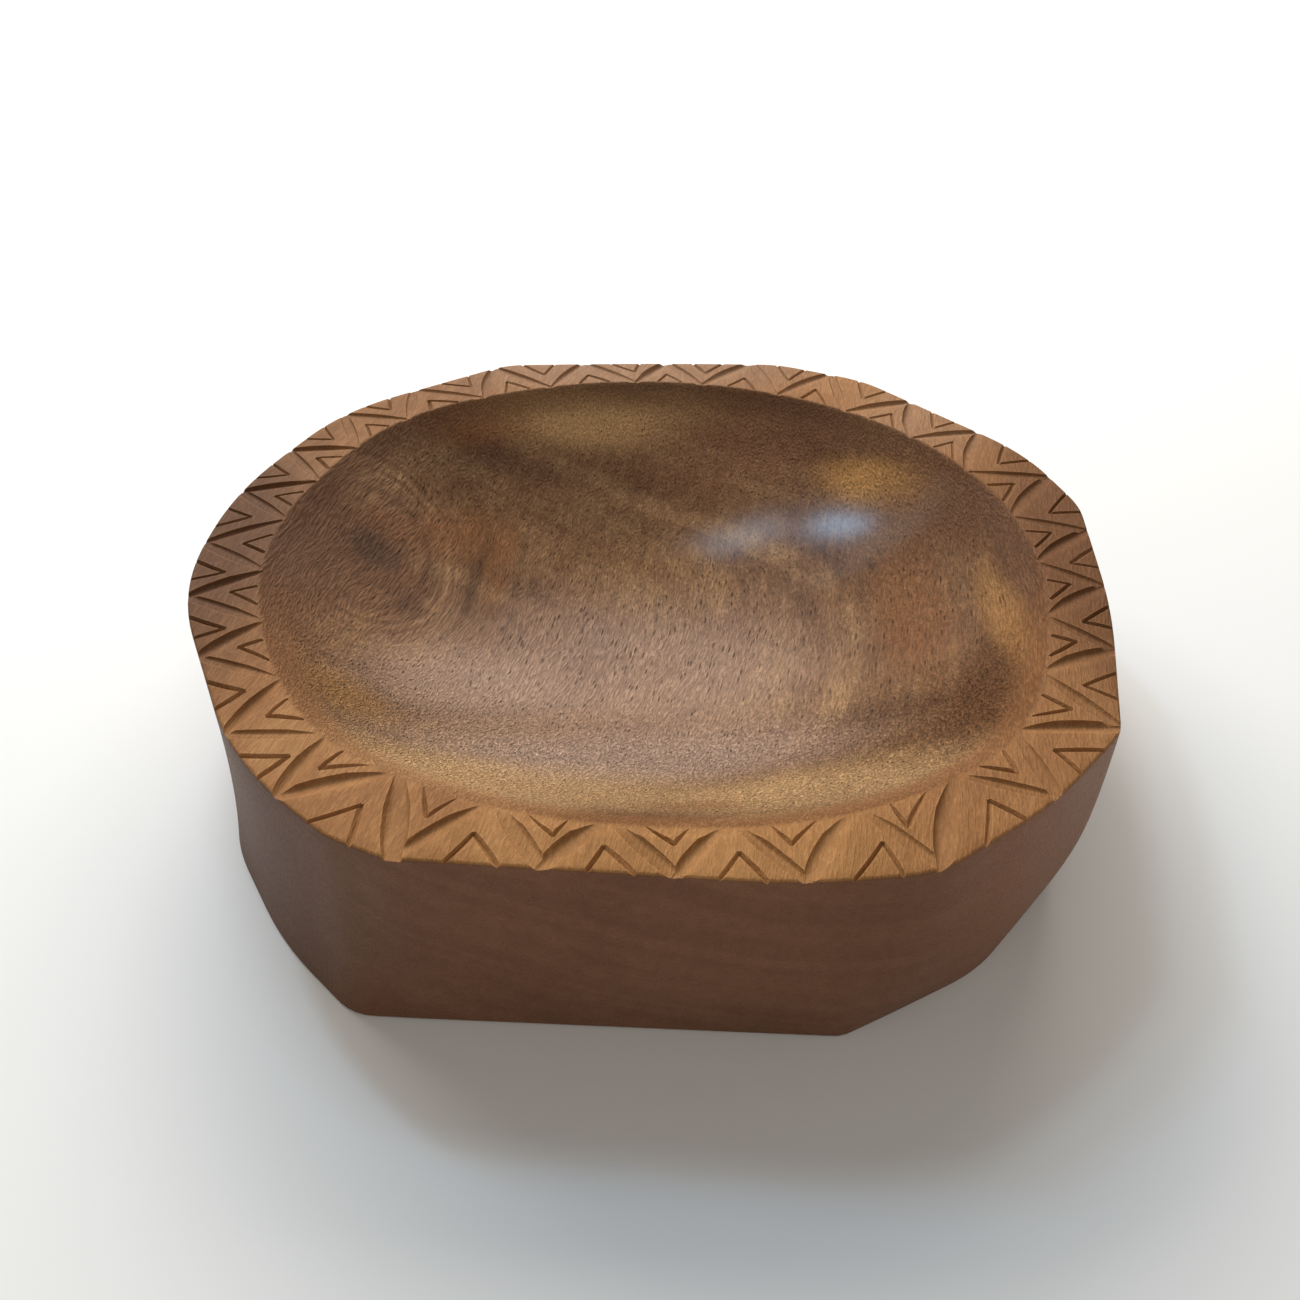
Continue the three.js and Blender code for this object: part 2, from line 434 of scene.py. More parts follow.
def carve(block, cuts, name):
    activate(cuts[0])
    for cut in cuts:
        cut.select_set(True)
    bpy.ops.object.join()
    cutter = bpy.context.object
    activate(block)
    carver = block.modifiers.new("carve", "BOOLEAN")
    carver.operation = "DIFFERENCE"
    carver.solver = "EXACT"
    carver.object = cutter
    bpy.ops.object.modifier_apply(modifier="carve")
    bpy.data.objects.remove(cutter)
    print("carved", name, len(cuts), "cuts,", len(block.data.polygons), "faces")


def carveRim(block):
    # cuts that cross or touch go in separate passes
    hand = random.Random(carving["handSeed"])
    blades = {name: makeBlade(name, tool["section"]) for name, tool in tools.items()}
    passes = {"left": [], "right": [], "fineLeft": [], "fineRight": []}
    teeth = toothAngles()
    for i, (notch, tip, following) in enumerate(teeth):
        shift = carving["tipGap"] / hollowRadius(tip)
        leftTip = rimPoint(tip - shift, carving["leftTipAcross"])
        rightTip = rimPoint(tip + shift, carving["rightTipAcross"])
        wider = carving["wideShare"] if i == carving["wideTooth"] else 1
        passes["left"].append(cutTooth(blades, leftTip, rimPoint(notch, 1), hand))
        passes["right"].append(cutTooth(blades, rightTip, rimPoint(following, 1), hand, wider))
        previousTip = teeth[i - 1][1] - (fullTurn if i == 0 else 0)
        outer = cutChevron(blades, hand, notch, following, 1, carving["overrun"],
                           rimPoint(tip, carving["outerApex"]), carving["outerFeet"])
        inner = cutChevron(blades, hand, previousTip, tip, carving["innerFootAcross"], 0,
                           rimPoint(notch, carving["innerApex"]), carving["innerFeet"])
        for left, right in (outer, inner):
            passes["fineLeft"].append(left)
            passes["fineRight"].append(right)
    for name, cuts in passes.items():
        carve(block, cuts, name)
    for blade in blades.values():
        bpy.data.objects.remove(blade)


def finishShape(block):
    activate(block)
    bpy.ops.object.mode_set(mode="EDIT")
    bpy.ops.mesh.select_all(action="SELECT")
    bpy.ops.mesh.remove_doubles(threshold=bowlShape["mergeReach"] * mm)
    bpy.ops.mesh.normals_make_consistent(inside=False)
    bpy.ops.object.mode_set(mode="OBJECT")
    bpy.ops.object.shade_smooth_by_angle(angle=math.radians(bowlShape["smoothAngle"]))


def markInward(block):
    # how far each point lies inside the edge of the hollow, for the finish to read
    inward = block.data.attributes.new("inward", "FLOAT", "POINT")
    for vert, value in zip(block.data.vertices, inward.data):
        x, y = vert.co.x, vert.co.y
        value.value = hollowRadius(turnOf(x, y)) * mm - math.hypot(x, y)


def addNode(tree, kind, **settings):
    node = tree.nodes.new(kind)
    for name, value in settings.items():
        setattr(node, name, value)
    return node


def feed(tree, node, values):
    # a link where the value is another node's output, a plain setting otherwise
    for name, value in values.items():
        socket = node.inputs[name]
        if isinstance(value, bpy.types.NodeSocket):
            tree.links.new(value, socket)
        else:
            socket.default_value = value


def calculate(tree, operation, *values):
    node = addNode(tree, "ShaderNodeMath", operation=operation)
    feed(tree, node, dict(enumerate(values)))
    return node.outputs["Value"]


def calculateVector(tree, operation, *values):
    node = addNode(tree, "ShaderNodeVectorMath", operation=operation)
    feed(tree, node, dict(enumerate(values)))
    return node.outputs["Value" if operation in ("LENGTH", "DOT_PRODUCT") else "Vector"]


def between(tree, factor, atNone, atFull):
    return calculate(tree, "MULTIPLY_ADD", factor, atFull - atNone, atNone)


def remap(tree, source, low, high, newLow, newHigh):
    node = addNode(tree, "ShaderNodeMapRange", interpolation_type="SMOOTHSTEP")
    feed(tree, node, {"Value": source, "From Min": low, "From Max": high})
    feed(tree, node, {"To Min": newLow, "To Max": newHigh})
    return node.outputs["Result"]


def blendColours(tree, factor, first, second, mode="MIX"):
    node = addNode(tree, "ShaderNodeMix", data_type="RGBA", blend_type=mode)
    feed(tree, node, {0: factor, 6: first, 7: second})
    return node.outputs[2]


def toneRamp(tree, factor, tones):
    node = addNode(tree, "ShaderNodeValToRGB")
    stops = node.color_ramp.elements
    for i, (place, colour) in enumerate(tones):
        stop = stops[i] if i < len(stops) else stops.new(place)
        stop.position = place
        stop.color = (*colour, 1)
    feed(tree, node, {"Fac": factor})
    return node.outputs["Color"]


def noiseOf(tree, place, scale, detail, roughness):
    node = addNode(tree, "ShaderNodeTexNoise")
    feed(tree, node, {"Vector": place, "Scale": scale, "Detail": detail, "Roughness": roughness})
    return node.outputs


def noiseAlong(tree, distance, scale, detail, roughness):
    # noise that changes with one distance only, for rings
    node = addNode(tree, "ShaderNodeTexNoise", noise_dimensions="1D")
    feed(tree, node, {"W": distance, "Scale": scale, "Detail": detail, "Roughness": roughness})
    return node.outputs["Fac"]


def mapped(tree, place, kind="POINT", **values):
    node = addNode(tree, "ShaderNodeMapping", vector_type=kind)
    feed(tree, node, {"Vector": place, **values})
    return node.outputs["Vector"]


def addGroup(tree, group, **values):
    node = addNode(tree, "ShaderNodeGroup", node_tree=group)
    feed(tree, node, values)
    return node.outputs


def startGroup(name, inputs, outputs):
    # inputs and outputs are names with the kind of each socket
    tree = bpy.data.node_groups.new(name, "ShaderNodeTree")
    for socket, kind in inputs.items():
        tree.interface.new_socket(socket, in_out="INPUT", socket_type=kind)
    for socket, kind in outputs.items():
        tree.interface.new_socket(socket, in_out="OUTPUT", socket_type=kind)
    return tree, addNode(tree, "NodeGroupInput").outputs, addNode(tree, "NodeGroupOutput")


def arrange(tree):
    # each node stands one column to the left of the nodes that it feeds
    columns = {}
    rows = {}

    def columnOf(node):
        if node.name not in columns:
            fed = [link.to_node for output in node.outputs for link in output.links]
            columns[node.name] = max((columnOf(other) + 1 for other in fed), default=0)
        return columns[node.name]

    for node in tree.nodes:
        column = columnOf(node)
        rows[column] = rows.get(column, 0) + 1
        node.location = (-240 * column, -260 * rows[column])


def inRadians(turns):
    return [math.radians(turn) for turn in turns]


# grain of the block; places and reaches in millimetres, stretches as patterns per millimetre
grain = {
    "pithPlace": (60, 0, 310),     # line of the tree's heart, which runs front to back above the bowl
    "pithTurn": (0, 0, 4),
    "fibreTurn": (0, 0, 10),
    "warp": (0.013, 2.5, 0.5),     # slow sway of the fibres: scale, detail, roughness
    "warpReach": 11,
    "rings": (0.13, 5.0, 0.62),
    "ringLimits": (0.3, 0.7),      # values of the noise read as none and full
    "patches": (0.022, 3.0, 0.55),
    "patchLimits": (0.32, 0.68),
    "poreStretch": (0.85, 0.12, 0.85),
    "poreSize": (0.12, 0.31),      # solid out to the first, gone at the second
    "poreChoice": (0.2, 0.7),      # share of the pores that stay faint, and that are all open
    "faintPore": 0.1,
    "eyePlace": (-101, 30, 0),     # small knot on the left of the hollow
    "eyeReach": (58, 80, 400),
    "eyeSqueeze": (-0.3, 0, 0),    # how the fibres part round it
    "arcShape": (1, 0.62, 0),
    "arcs": (0.3, 3.0, 0.6),
    "arcLimits": (0.35, 0.65),
    "arcStrength": 0.17,
}
# layers that follow the fibres: stretch, detail, roughness, and the values read as none and full
fibreLayers = {
    "Bands": ((0.3, 0.018, 0.3), 3.0, 0.6, 0.34, 0.66),
    "Fibre": ((1.5, 0.2, 1.5), 3.5, 0.62, 0.28, 0.72),
    "Peel": ((1.3, 0.55, 1.3), 2.0, 0.6, 0.32, 0.68),
}
# how much each layer adds to the figure of the wood
figure = {"base": 0.14, "rings": 0.22, "bands": 0.2, "patches": 0.3}
wearReach = 0.5               # how wide the worn pale corners are
wearTurn = (0.995, 0.9)       # cosines of the turn at a corner where wear starts and is full
patchCore = 0.25              # share of a patch's reach that has its full strength


def makePatchGroup():
    # an oval patch that fades to nothing at its edge
    vector = "NodeSocketVector"
    tree, start, end = startGroup(
        "softPatch", {"Place": vector, "Middle": vector, "Turn": vector, "Reach": vector},
        {"Mask": "NodeSocketFloat"})
    local = mapped(tree, start["Place"], "TEXTURE", Location=start["Middle"], Rotation=start["Turn"],
                   Scale=start["Reach"])
    away = calculateVector(tree, "LENGTH", local)
    feed(tree, end, {"Mask": remap(tree, away, patchCore, 1.0, 1, 0)})
    arrange(tree)
    return tree


def makeWearGroup():
    # corners that hands have rubbed pale
    tree, start, end = startGroup("edgeWear", {"Reach": "NodeSocketFloat"}, {"Mask": "NodeSocketFloat"})
    rounded = addNode(tree, "ShaderNodeBevel", samples=4)
    feed(tree, rounded, {"Radius": start["Reach"]})
    surface = addNode(tree, "ShaderNodeNewGeometry")
    same = calculateVector(tree, "DOT_PRODUCT", rounded.outputs["Normal"], surface.outputs["Normal"])
    feed(tree, end, {"Mask": remap(tree, same, *wearTurn, 0, 1)})
    arrange(tree)
    return tree


def partRoundKnot(tree, inMm, flow, knotMask):
    # the fibres part round the knot, then turn to the line of the block
    fromKnot = calculateVector(tree, "SUBTRACT", inMm, grain["eyePlace"])
    parted = calculateVector(tree, "MULTIPLY", fromKnot, grain["eyeSqueeze"])
    faded = addNode(tree, "ShaderNodeVectorMath", operation="SCALE")
    feed(tree, faded, {"Vector": parted, "Scale": knotMask})
    along = calculateVector(tree, "ADD", flow, faded.outputs["Vector"])
    return mapped(tree, along, Rotation=inRadians(grain["fibreTurn"]))


def ringsRoundHeart(tree, flow):
    pith = mapped(tree, flow, "TEXTURE", Location=grain["pithPlace"], Rotation=inRadians(grain["pithTurn"]))
    fromPith = calculateVector(tree, "LENGTH", calculateVector(tree, "MULTIPLY", pith, (1, 0, 1)))
    return remap(tree, noiseAlong(tree, fromPith, *grain["rings"]), *grain["ringLimits"], 0, 1)


def arcsRoundKnot(tree, flow, knotMask):
    # the rings draw close round the knot
    fromEye = calculateVector(tree, "SUBTRACT", flow, grain["eyePlace"])
    fromEye = calculateVector(tree, "LENGTH", calculateVector(tree, "MULTIPLY", fromEye, grain["arcShape"]))
    strength = grain["arcStrength"]
    arcs = noiseAlong(tree, fromEye, *grain["arcs"])
    arcs = remap(tree, arcs, *grain["arcLimits"], -strength, strength)
    return calculate(tree, "MULTIPLY", arcs, knotMask)


def openPores(tree, along):
    # short dark slits along the fibres, some faint and some open
    cells = addNode(tree, "ShaderNodeTexVoronoi")
    feed(tree, cells, {"Vector": mapped(tree, along, Scale=grain["poreStretch"]), "Scale": 1.0})
    pores = remap(tree, cells.outputs["Distance"], *grain["poreSize"], 1, 0)
    chance = addNode(tree, "ShaderNodeSeparateColor")
    feed(tree, chance, {"Color": cells.outputs["Color"]})
    chosen = remap(tree, chance.outputs["Red"], *grain["poreChoice"], grain["faintPore"], 1)
    return calculate(tree, "MULTIPLY", pores, chosen)


def makeGrainGroup(patchGroup):
    # one block of wood: rings about the tree's heart, long fibres, open pores and slow patches
    names = ("Fibre", "Pores", "Peel", "Figure")
    tree, start, end = startGroup("woodGrain", {"Place": "NodeSocketVector"},
                                  {"Flow": "NodeSocketVector", **dict.fromkeys(names, "NodeSocketFloat")})
    inMm = calculateVector(tree, "MULTIPLY", start["Place"], (1 / mm, 1 / mm, 1 / mm))
    sway = calculateVector(tree, "SUBTRACT", noiseOf(tree, inMm, *grain["warp"])["Color"], (0.5, 0.5, 0.5))
    flow = calculateVector(tree, "MULTIPLY_ADD", sway, [grain["warpReach"]] * 3, inMm)
    knot = addGroup(tree, patchGroup, Place=inMm, Middle=grain["eyePlace"], Reach=grain["eyeReach"])
    knotMask = knot["Mask"]
    along = partRoundKnot(tree, inMm, flow, knotMask)

    layers = {"Flow": flow, "Rings": ringsRoundHeart(tree, flow), "Pores": openPores(tree, along)}
    for name, (stretch, detail, roughness, none, full) in fibreLayers.items():
        layer = noiseOf(tree, mapped(tree, along, Scale=stretch), 1.0, detail, roughness)
        layers[name] = remap(tree, layer["Fac"], none, full, 0, 1)
    patches = noiseOf(tree, flow, *grain["patches"])["Fac"]
    patches = remap(tree, patches, *grain["patchLimits"], 0, 1)

    shade = calculate(tree, "MULTIPLY_ADD", layers["Rings"], figure["rings"], figure["base"])
    shade = calculate(tree, "MULTIPLY_ADD", layers["Bands"], figure["bands"], shade)
    shade = calculate(tree, "MULTIPLY_ADD", patches, figure["patches"], shade)
    layers["Figure"] = calculate(tree, "ADD", shade, arcsRoundKnot(tree, flow, knotMask))
    feed(tree, end, {name: layers[name] for name in ("Flow", *names)})
    arrange(tree)
    return tree


def startWood(name, groups):
    # a new material with its shader, the grain's outputs, the place's axes and the wear mask
    wood = bpy.data.materials.new(name)
    wood.use_nodes = True
    tree = wood.node_tree
    place = addNode(tree, "ShaderNodeTexCoord").outputs["Object"]
    axes = addNode(tree, "ShaderNodeSeparateXYZ")
    feed(tree, axes, {"Vector": place})
    parts = addGroup(tree, groups["grain"], Place=place)
    wear = addGroup(tree, groups["wear"], Reach=wearReach * mm)["Mask"]
    return wood, tree, tree.nodes["Principled BSDF"], parts, axes.outputs, wear


def layPatches(tree, groups, colour, flow, patches):
    for middle, reach, turn, tint, strength in patches:
        mask = addGroup(tree, groups["patch"], Place=flow, Middle=(*middle, 0),
                        Turn=inRadians((0, 0, turn)), Reach=(*reach, 1000))["Mask"]
        colour = blendColours(tree, calculate(tree, "MULTIPLY", mask, strength), colour, tints[tint])
    return colour


def bumpFrom(tree, height):
    bump = addNode(tree, "ShaderNodeBump")
    feed(tree, bump, {"Distance": mm, "Height": height})
    return bump.outputs["Normal"]


# soft patches of other colour, some of them painted light and shade as marked: middle, reach, turn, tint,
# strength
tints = {
    "dark": (0.080, 0.033, 0.015, 1),
    "dusk": (0.118, 0.052, 0.026, 1),
    "brown": (0.150, 0.062, 0.025, 1),
    "rust": (0.30, 0.112, 0.034, 1),
    "gold": (0.52, 0.260, 0.080, 1),
    # pinkish grey for painted sheen
    "paintedSheen": (0.49, 0.325, 0.240, 1),
    "umber": (0.125, 0.055, 0.027, 1),
    "russet": (0.270, 0.118, 0.058, 1),
    "wheat": (0.76, 0.460, 0.220, 1),
    # pale tan for a painted reflection
    "paintedGloss": (0.56, 0.320, 0.130, 1),
    # pale grey tan for painted reflection on the rim
    "pale": (0.31, 0.170, 0.095, 1),
}
hollowPatches = [
    # painted sheen: the reflection of the light behind, laid over the middle of the hollow
    ((-8, -12), (96, 66), 0, "paintedSheen", 0.6),
    ((0, 78), (130, 58), 0, "brown", 0.2),
    ((-78, 95), (34, 30), 20, "dark", 0.3),
    ((-12, 68), (34, 12), -18, "dark", 0.25),
    # painted reflection: a pale tan band of gloss along the back wall of the hollow
    ((-30, 114), (80, 17), 0, "paintedGloss", 0.9),
    ((-70, 104), (34, 14), 20, "rust", 0.5),
    ((40, 100), (60, 30), -8, "russet", 0.45),
    ((-36, 90), (60, 10), -6, "dark", 0.3),
    # painted reflection: the warm gleam beside the highlight, painted gold
    ((87, 64), (36, 13), -38, "gold", 0.9),
    ((98, 36), (34, 44), 0, "brown", 0.8),
    # painted shade: the steep left wall of the hollow, painted dark brown
    ((-122, 10), (26, 90), 0, "brown", 0.8),
    ((-108, -30), (40, 74), 15, "brown", 0.4),
    ((118, -45), (24, 74), -20, "brown", 0.65),
    ((92, -72), (40, 30), -40, "brown", 0.6),
    ((100, -20), (44, 60), 0, "brown", 0.5),
    ((-72, 52), (30, 20), 20, "rust", 0.5),
    ((-97, 46), (14, 10), 0, "rust", 0.5),
    ((-66, 28), (4, 36), -8, "dark", 0.5),
    ((-57, 40), (8, 34), -8, "rust", 0.4),
    ((-100, 26), (30, 44), 0, "brown", 0.75),
    ((-101, 31), (13, 14), 0, "dark", 0.85),
    ((-88, 10), (9, 12), 20, "dark", 0.4),
    # painted sheen: the reflection of the light behind, on the left and over the front slope
    ((-62, -30), (48, 34), 20, "paintedSheen", 0.6),
    ((-6, -66), (100, 30), 5, "paintedSheen", 0.9),
    ((112, -25), (8, 48), 0, "gold", 0.5),
    ((88, -5), (16, 50), 0, "rust", 0.4),
    ((72, -52), (22, 11), -10, "dark", 0.35),
    ((-92, -58), (26, 15), -40, "gold", 0.35),
    ((-40, -95), (80, 29), 4, "wheat", 0.65),
    ((42, -98), (64, 27), 8, "wheat", 0.6),
    ((12, -106), (22, 8), 10, "rust", 0.4),
    ((79, 31), (3, 6), 20, "dark", 0.6),
]
rimPatches = [
    ((-150, 4), (60, 140), 0, "dusk", 0.9),
    ((150, -10), (62, 130), 0, "brown", 0.9),
    ((-90, 110), (60, 40), 40, "brown", 0.4),
    # painted reflection: the back of the rim paled and greyed as the light behind reflects from it
    ((0, 145), (130, 44), 0, "pale", 0.8),
    ((110, 95), (40, 45), 0, "pale", 0.6),
    ((5, -135), (110, 34), 0, "gold", 0.25),
]
# painted shade on the left front wall, painted light on the right front wall
wallPaintedShading = [
    ((-118, -90), (92, 90), 0, "umber", 0.9),
    ((105, -110), (56, 60), 0, "russet", 0.6),
]
# oiled wood of the rim and the hollow; bands and heights in millimetres
topFinish = {
    "rimTones": ((0.0, (0.21, 0.089, 0.032)), (0.5, (0.335, 0.153, 0.057)), (1.0, (0.44, 0.224, 0.088))),
    "hollowTones": ((0.12, (0.115, 0.049, 0.021)), (0.4, (0.215, 0.103, 0.046)),
                    (0.6, (0.290, 0.152, 0.070)), (0.85, (0.42, 0.235, 0.105))),
    "rimFade": 1.5,                # half the band over which rim turns to hollow
    "lipBand": (3, 13),            # handled wood just inside the edge of the hollow, its tone darkened behind and at the sides with painted shade of the steep wall
    "lipFront": (0.27, 0.115, 0.040, 1),
    # painted shade: the dark tone of the steep wall of the hollow behind and at the sides
    "lipBack": (0.150, 0.064, 0.029, 1),
    "lipTurn": (-70, 10),          # from the front tone to the back one
    "lipStrength": 0.65,
    "streaks": (0.76, 1.2),
    "rimStreaks": 0.45,            # strength on the rim
    "slopeBand": (-20, -70),       # torn grain shows from here to the front
    "slopeLeast": 0.15,
    # painted glints: pale specks over the torn grain of the front slope
    "paintedGlints": (0.78, 1.22),
    "pore": (0.05, 0.022, 0.011, 1),
    "poreStrength": 0.6,
    "cutBand": (1.2, 0.1),         # below the rim, where the floors of the cuts get painted shade
    "cutShade": 0.14,
    "wear": (0.60, 0.33, 0.14, 1),
    "wearBand": (1, 0.2),
    "wearStrength": 0.4,
    "roughness": (0.56, 0.44),
    "rimRougher": 0.08,
    "specular": 0.06,
    "rubbedPlace": (58, 52, 0),    # the oil is polished brighter here
    "rubbedReach": (64, 34, 1000),
    "coat": (0.02, 0.24),
    "rimCoat": 0.2,                # share of the coat on the rim
    "coatRoughness": 0.17,
    "fibreRelief": (0.5, 0.2),     # in the hollow and on the rim
    "poreRelief": -0.5,
    "peelRelief": (0.05, 1.05),    # on the floor and on the front slope
}
# drier wood of the outer wall and the foot
wallFinish = {
    "tones": ((0.0, (0.155, 0.064, 0.032)), (0.5, (0.200, 0.090, 0.046)), (1.0, (0.255, 0.122, 0.066))),
    "streaks": (0.94, 1.06),
    "pore": (0.05, 0.024, 0.014, 1),
    "poreStrength": 0.3,
    "wear": (0.30, 0.15, 0.07, 1),
    "wearStrength": 0.35,
    "roughness": (0.55, 0.45),
    "specular": 0.2,
    "fibreRelief": 0.08,
    "peelRelief": 0.06,
}


def underRim(band):
    # heights a little below the rim, in metres
    return [bowlTop - below * mm for below in band]


def topColour(tree, groups, parts, axes, wear, onRim, lip, slope, pores):
    finish = topFinish
    hollow = toneRamp(tree, parts["Figure"], finish["hollowTones"])
    hollow = layPatches(tree, groups, hollow, parts["Flow"], hollowPatches)
    # the lip's tone turns from the wood's own at the front to painted shade of the steep wall behind
    front, back = finish["lipTurn"]
    lipToneAndShade = blendColours(tree, remap(tree, axes["Y"], front * mm, back * mm, 0, 1),
                           finish["lipFront"], finish["lipBack"])
    hollow = blendColours(tree, calculate(tree, "MULTIPLY", lip, finish["lipStrength"]), hollow, lipToneAndShade)
    rim = toneRamp(tree, parts["Figure"], finish["rimTones"])
    rim = layPatches(tree, groups, rim, parts["Flow"], rimPatches)
    colour = blendColours(tree, onRim, hollow, rim)

    streaks = remap(tree, parts["Fibre"], 0, 1, *finish["streaks"])
    colour = blendColours(tree, between(tree, onRim, 1, finish["rimStreaks"]), colour, streaks, "MULTIPLY")
    # painted glints: the torn grain lightened in specks on the front slope
    paintedGlints = remap(tree, parts["Peel"], 0, 1, *finish["paintedGlints"])
    colour = blendColours(tree, slope, colour, paintedGlints, "MULTIPLY")
    poreShade = calculate(tree, "MULTIPLY", pores, finish["poreStrength"])
    colour = blendColours(tree, poreShade, colour, finish["pore"])

    # painted shade: the floors of the cuts darkened toward the pore colour
    inCut = remap(tree, axes["Z"], *underRim(finish["cutBand"]), finish["cutShade"], 0)
    colour = blendColours(tree, calculate(tree, "MULTIPLY", inCut, onRim), colour, finish["pore"])
    nearTop = remap(tree, axes["Z"], *underRim(finish["wearBand"]), 0, finish["wearStrength"])
    return blendColours(tree, calculate(tree, "MULTIPLY", wear, nearTop), colour, finish["wear"])


def makeTopWood(groups):
    finish = topFinish
    wood, tree, shader, parts, axes, wear = startWood("topWood", groups)
    inward = addNode(tree, "ShaderNodeAttribute", attribute_name="inward").outputs["Fac"]
    fade = finish["rimFade"] * mm
    onRim = remap(tree, inward, -fade, fade, 1, 0)
    lipStart, lipEnd = finish["lipBand"]
    lip = remap(tree, inward, lipStart * mm, lipEnd * mm, 1, 0)
    pastLip = calculate(tree, "SUBTRACT", 1, lip)
    slopeStart, slopeEnd = finish["slopeBand"]
    slope = remap(tree, axes["Y"], slopeStart * mm, slopeEnd * mm, finish["slopeLeast"], 1)
    slope = calculate(tree, "MULTIPLY", slope, pastLip)
    pores = calculate(tree, "MULTIPLY", parts["Pores"], pastLip)

    roughness = remap(tree, parts["Fibre"], 0, 1, *finish["roughness"])
    rubbed = addGroup(tree, groups["patch"], Place=parts["Flow"], Middle=finish["rubbedPlace"],
                      Reach=finish["rubbedReach"])["Mask"]
    coat = remap(tree, rubbed, 0, 1, *finish["coat"])
    fibreRelief = calculate(tree, "MULTIPLY", parts["Fibre"], between(tree, onRim, *finish["fibreRelief"]))
    relief = calculate(tree, "MULTIPLY_ADD", pores, finish["poreRelief"], fibreRelief)
    peel = calculate(tree, "MULTIPLY", parts["Peel"], between(tree, slope, *finish["peelRelief"]))
    feed(tree, shader, {
        "Base Color": topColour(tree, groups, parts, axes, wear, onRim, lip, slope, pores),
        "Roughness": calculate(tree, "MULTIPLY_ADD", onRim, finish["rimRougher"], roughness),
        "Specular IOR Level": finish["specular"],
        "Coat Weight": calculate(tree, "MULTIPLY", coat, between(tree, onRim, 1, finish["rimCoat"])),
        "Coat Roughness": finish["coatRoughness"],
        "Normal": bumpFrom(tree, calculate(tree, "ADD", relief, peel)),
    })
    arrange(tree)
    return wood


def makeWallWood(groups):
    finish = wallFinish
    wood, tree, shader, parts, axes, wear = startWood("wallWood", groups)
    colour = toneRamp(tree, parts["Figure"], finish["tones"])
    colour = layPatches(tree, groups, colour, parts["Flow"], wallPaintedShading)
    streaks = remap(tree, parts["Fibre"], 0, 1, *finish["streaks"])
    colour = blendColours(tree, 1.0, colour, streaks, "MULTIPLY")
    poreShade = calculate(tree, "MULTIPLY", parts["Pores"], finish["poreStrength"])
    colour = blendColours(tree, poreShade, colour, finish["pore"])
    wearShade = calculate(tree, "MULTIPLY", wear, finish["wearStrength"])
    fibreRelief = calculate(tree, "MULTIPLY", parts["Fibre"], finish["fibreRelief"])
    relief = calculate(tree, "MULTIPLY_ADD", parts["Peel"], finish["peelRelief"], fibreRelief)
    feed(tree, shader, {
        "Base Color": blendColours(tree, wearShade, colour, finish["wear"]),
        "Roughness": remap(tree, parts["Fibre"], 0, 1, *finish["roughness"]),
        "Specular IOR Level": finish["specular"],
        "Normal": bumpFrom(tree, relief),
    })
    arrange(tree)
    return wood


patchGroup = makePatchGroup()
groups = {"patch": patchGroup, "grain": makeGrainGroup(patchGroup), "wear": makeWearGroup()}
bowl = makeBlock()
bowl.data.materials.append(makeTopWood(groups))
bowl.data.materials.append(makeWallWood(groups))
sortFaces(bowl)
print("block made, wood finished")
carveRim(bowl)
finishShape(bowl)
markInward(bowl)
print("bowl finished:", len(bowl.data.polygons), "faces")

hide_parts("carved_bowl")
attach(bowl, "root")

# studio, in metres and degrees
studio = {
    "lens": 33.23,
    "sensorWidth": 36,
    "cameraPlace": (-0.0009, -0.3337, 0.2820),
    "cameraPitch": 37.8,
    "cameraRoll": -0.53,
    "world": (1.0, 0.95, 0.88, 1),
    "worldStrength": 0.22,
    "floorSize": 8,
    "floorColour": (0.82, 0.82, 0.81, 1),
    "floorRoughness": 0.9,
}
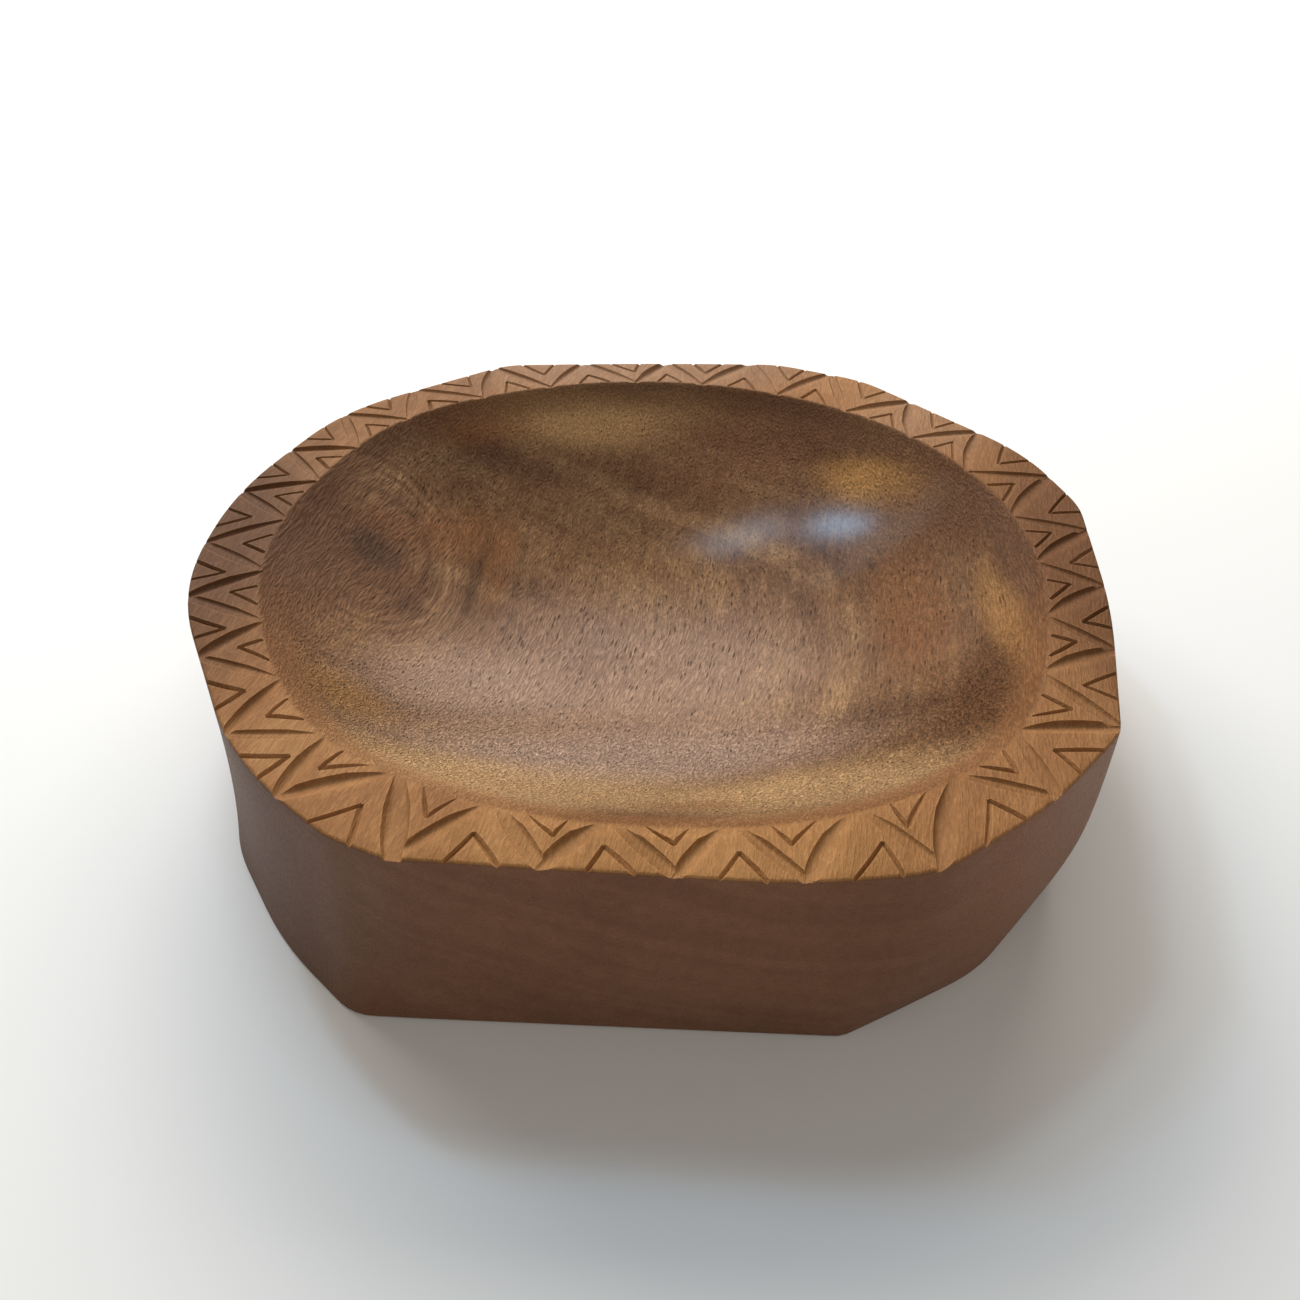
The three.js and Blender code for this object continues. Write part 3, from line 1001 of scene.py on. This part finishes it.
# azimuth from +Y towards +X, elevation, distance, width, height, power and colour
lights = {
    "window": (-38, 56, 1.6, 0.09, 0.22, 3.8, (0.45, 0.72, 1.0)),
    "windowGlow": (-22, 65, 1.6, 0.34, 0.16, 3.2, (0.6, 0.8, 1.0)),
    "key": (-26, 33, 2.2, 1.9, 1.2, 45, (1.0, 0.95, 0.88)),
    "backWide": (8, 36, 2.2, 2.0, 1.3, 28, (1.0, 0.94, 0.86)),
    "frontFill": (168, 50, 2.5, 1.5, 1.5, 9, (1.0, 0.94, 0.86)),
}


def makeCamera():
    data = bpy.data.cameras.new("camera")
    data.lens = studio["lens"]
    data.sensor_width = studio["sensorWidth"]
    camera = bpy.data.objects.new("camera", data)
    tilt = Euler((math.radians(90 - studio["cameraPitch"]), 0, 0)).to_matrix()
    roll = Matrix.Rotation(math.radians(studio["cameraRoll"]), 3, "Z")
    camera.matrix_world = (tilt @ roll).to_4x4()
    camera.location = studio["cameraPlace"]
    bpy.context.collection.objects.link(camera)
    bpy.context.scene.camera = camera


def addLight(name, azimuth, elevation, distance, width, height, power, colour):
    data = bpy.data.lights.new(name, "AREA")
    data.shape = "RECTANGLE"
    data.size = width
    data.size_y = height
    data.energy = power
    data.color = colour
    light = bpy.data.objects.new(name, data)
    a = math.radians(azimuth)
    e = math.radians(elevation)
    light.location = Vector((math.sin(a) * math.cos(e), math.cos(a) * math.cos(e), math.sin(e))) * distance
    light.rotation_euler = light.location.to_track_quat("Z", "Y").to_euler()
    bpy.context.collection.objects.link(light)


def makeWorld():
    world = bpy.data.worlds.new("room")
    world.use_nodes = True
    background = world.node_tree.nodes["Background"]
    background.inputs["Color"].default_value = studio["world"]
    background.inputs["Strength"].default_value = studio["worldStrength"]
    bpy.context.scene.world = world


def makeFloor():
    deselectAll()
    bpy.ops.mesh.primitive_plane_add(size=studio["floorSize"], location=(0, 0, 0))
    floor = bpy.context.object
    floor.name = "floor"
    paper = bpy.data.materials.new("palePaper")
    paper.use_nodes = True
    shader = paper.node_tree.nodes["Principled BSDF"]
    shader.inputs["Base Color"].default_value = studio["floorColour"]
    shader.inputs["Roughness"].default_value = studio["floorRoughness"]
    floor.data.materials.append(paper)


makeCamera()
for name, settings in lights.items():
    addLight(name, *settings)
makeWorld()
makeFloor()
bpy.context.scene.view_settings.view_transform = "Standard"
print("studio ready")
